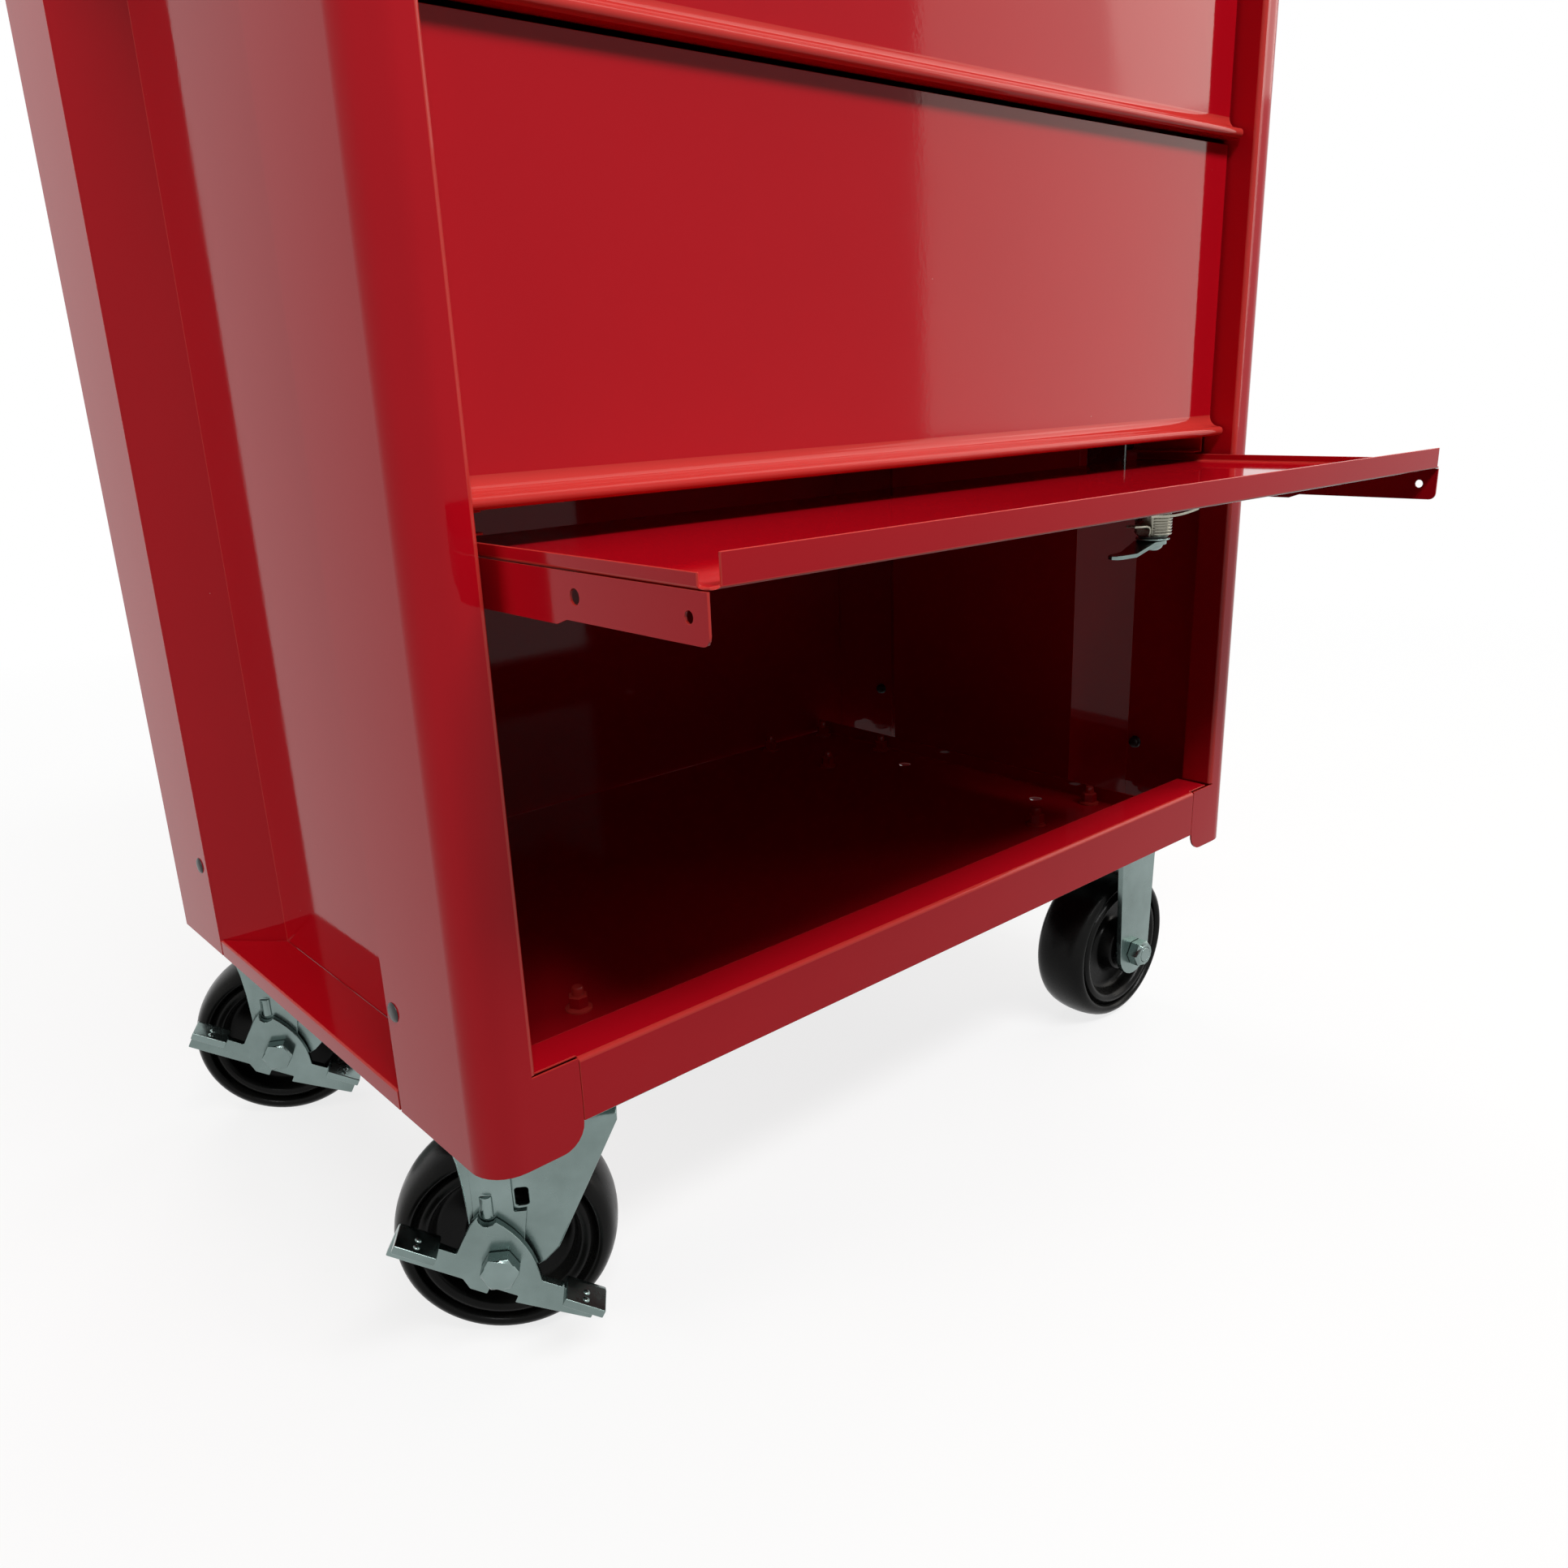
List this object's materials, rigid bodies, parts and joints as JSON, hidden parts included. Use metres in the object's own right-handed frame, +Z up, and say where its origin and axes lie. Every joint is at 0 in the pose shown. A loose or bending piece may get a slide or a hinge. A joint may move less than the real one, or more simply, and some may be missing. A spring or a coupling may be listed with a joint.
{
  "type": "rolling tool cabinet",
  "caption": "Rolling sheet-steel tool cabinet with drawers over an open compartment, a flip-up door that slides in and braked swivel casters.",
  "frame": {"origin": "on the floor, under the middle of the cabinet's footprint", "axes": "+X to the right as seen from the front, +Y to the back, +Z up"},
  "size_m": [0.7155, 0.6162, 0.8379],
  "materials": {
    "red_paint": "glossy red enamel",
    "zinc_plate": "bright zinc plate",
    "nickel_plate": "nickel plate",
    "black_wheel": "black moulded"
  },
  "bodies": {
    "cabinet": {"left_side_panel": "red_paint", "right_side_panel": "red_paint", "back_panel": "red_paint", "floor_pan": "red_paint", "front_rail": "red_paint", "left_ledge": "red_paint", "right_ledge": "red_paint", "top_tray": "red_paint", "left_door_track": "red_paint", "right_door_track": "red_paint", "deep_drawer_left_slide": "zinc_plate", "deep_drawer_right_slide": "zinc_plate", "upper_drawer_left_slide": "zinc_plate", "upper_drawer_right_slide": "zinc_plate", "left_front_caster_plate": "zinc_plate", "left_rear_caster_plate": "zinc_plate", "right_front_caster_plate": "zinc_plate", "right_rear_caster_plate": "zinc_plate", "right_front_caster_fork": "zinc_plate", "right_front_caster_sleeve": "zinc_plate", "right_front_caster_axle_bolt": "zinc_plate", "right_front_caster_axle_nut": "zinc_plate", "right_rear_caster_fork": "zinc_plate", "right_rear_caster_sleeve": "zinc_plate", "right_rear_caster_axle_bolt": "zinc_plate", "right_rear_caster_axle_nut": "zinc_plate"},
    "deep_drawer": {"deep_drawer_front": "red_paint", "deep_drawer_box": "red_paint", "deep_drawer_left_runner": "zinc_plate", "deep_drawer_right_runner": "zinc_plate"},
    "upper_drawer": {"upper_drawer_front": "red_paint", "upper_drawer_box": "red_paint", "upper_drawer_left_runner": "zinc_plate", "upper_drawer_right_runner": "zinc_plate"},
    "door_carriage": {"left_door_trolley": "zinc_plate", "right_door_trolley": "zinc_plate"},
    "door": {"door_panel": "red_paint", "left_door_bracket": "red_paint", "right_door_bracket": "red_paint", "lock_barrel": "nickel_plate", "lock_clip": "nickel_plate"},
    "lock_tongue": {"lock_plug": "nickel_plate", "lock_cam": "zinc_plate"},
    "left_front_swivel": {"left_front_caster_fork": "zinc_plate", "left_front_caster_sleeve": "zinc_plate", "left_front_caster_axle_bolt": "zinc_plate", "left_front_caster_axle_nut": "zinc_plate", "left_front_caster_brake_spring": "zinc_plate"},
    "left_front_wheel": {"left_front_caster_wheel": "black_wheel"},
    "left_front_brake": {"left_front_caster_brake_lever": "zinc_plate"},
    "right_front_wheel": {"right_front_caster_wheel": "black_wheel"},
    "left_rear_swivel": {"left_rear_caster_fork": "zinc_plate", "left_rear_caster_sleeve": "zinc_plate", "left_rear_caster_axle_bolt": "zinc_plate", "left_rear_caster_axle_nut": "zinc_plate", "left_rear_caster_brake_spring": "zinc_plate"},
    "left_rear_wheel": {"left_rear_caster_wheel": "black_wheel"},
    "left_rear_brake": {"left_rear_caster_brake_lever": "zinc_plate"},
    "right_rear_wheel": {"right_rear_caster_wheel": "black_wheel"}
  },
  "joints": [
    {"name": "deep_drawer_slide", "type": "slide", "parent": "cabinet", "child": "deep_drawer", "axis": [0, -1, 0], "range_m": [0, 0.36]},
    {"name": "upper_drawer_slide", "type": "slide", "parent": "cabinet", "child": "upper_drawer", "axis": [0, -1, 0], "range_m": [0, 0.36]},
    {"name": "door_slide", "type": "slide", "parent": "cabinet", "child": "door_carriage", "axis": [0, -1, 0], "range_m": [-0.152, 0.058]},
    {"name": "door_hinge", "type": "hinge", "parent": "door_carriage", "child": "door", "pos_m": [0, -0.139, 0.4431], "axis": [1, 0, 0], "range_deg": [0, 90]},
    {"name": "lock_turn", "type": "hinge", "parent": "door", "child": "lock_tongue", "pos_m": [0, -0.3595, 0.4546], "axis": [0, 0, 1], "range_deg": [0, 90]},
    {"name": "left_front_swivel_turn", "type": "hinge", "parent": "cabinet", "child": "left_front_swivel", "pos_m": [-0.2605, -0.1665, 0.1651], "axis": [0, 0, 1], "continuous": true},
    {"name": "left_front_wheel_roll", "type": "hinge", "parent": "left_front_swivel", "child": "left_front_wheel", "pos_m": [-0.29429, -0.1424, 0.0635], "axis": [-0.5807, -0.8141, 0], "continuous": true},
    {"name": "left_front_brake_rock", "type": "hinge", "parent": "left_front_swivel", "child": "left_front_brake", "pos_m": [-0.29429, -0.1424, 0.0635], "axis": [-0.5807, -0.8141, 0], "range_deg": [0, 30]},
    {"name": "right_front_wheel_roll", "type": "hinge", "parent": "cabinet", "child": "right_front_wheel", "pos_m": [0.2605, -0.1665, 0.0635], "axis": [0, 1, 0], "continuous": true},
    {"name": "left_rear_swivel_turn", "type": "hinge", "parent": "cabinet", "child": "left_rear_swivel", "pos_m": [-0.2605, 0.1665, 0.1651], "axis": [0, 0, 1], "continuous": true},
    {"name": "left_rear_wheel_roll", "type": "hinge", "parent": "left_rear_swivel", "child": "left_rear_wheel", "pos_m": [-0.29662, 0.18694, 0.0635], "axis": [-0.4924, -0.8704, 0], "continuous": true},
    {"name": "left_rear_brake_rock", "type": "hinge", "parent": "left_rear_swivel", "child": "left_rear_brake", "pos_m": [-0.29662, 0.18694, 0.0635], "axis": [-0.4924, -0.8704, 0], "range_deg": [0, 30]},
    {"name": "right_rear_wheel_roll", "type": "hinge", "parent": "cabinet", "child": "right_rear_wheel", "pos_m": [0.2605, 0.1665, 0.0635], "axis": [0, 1, 0], "continuous": true}
  ]
}
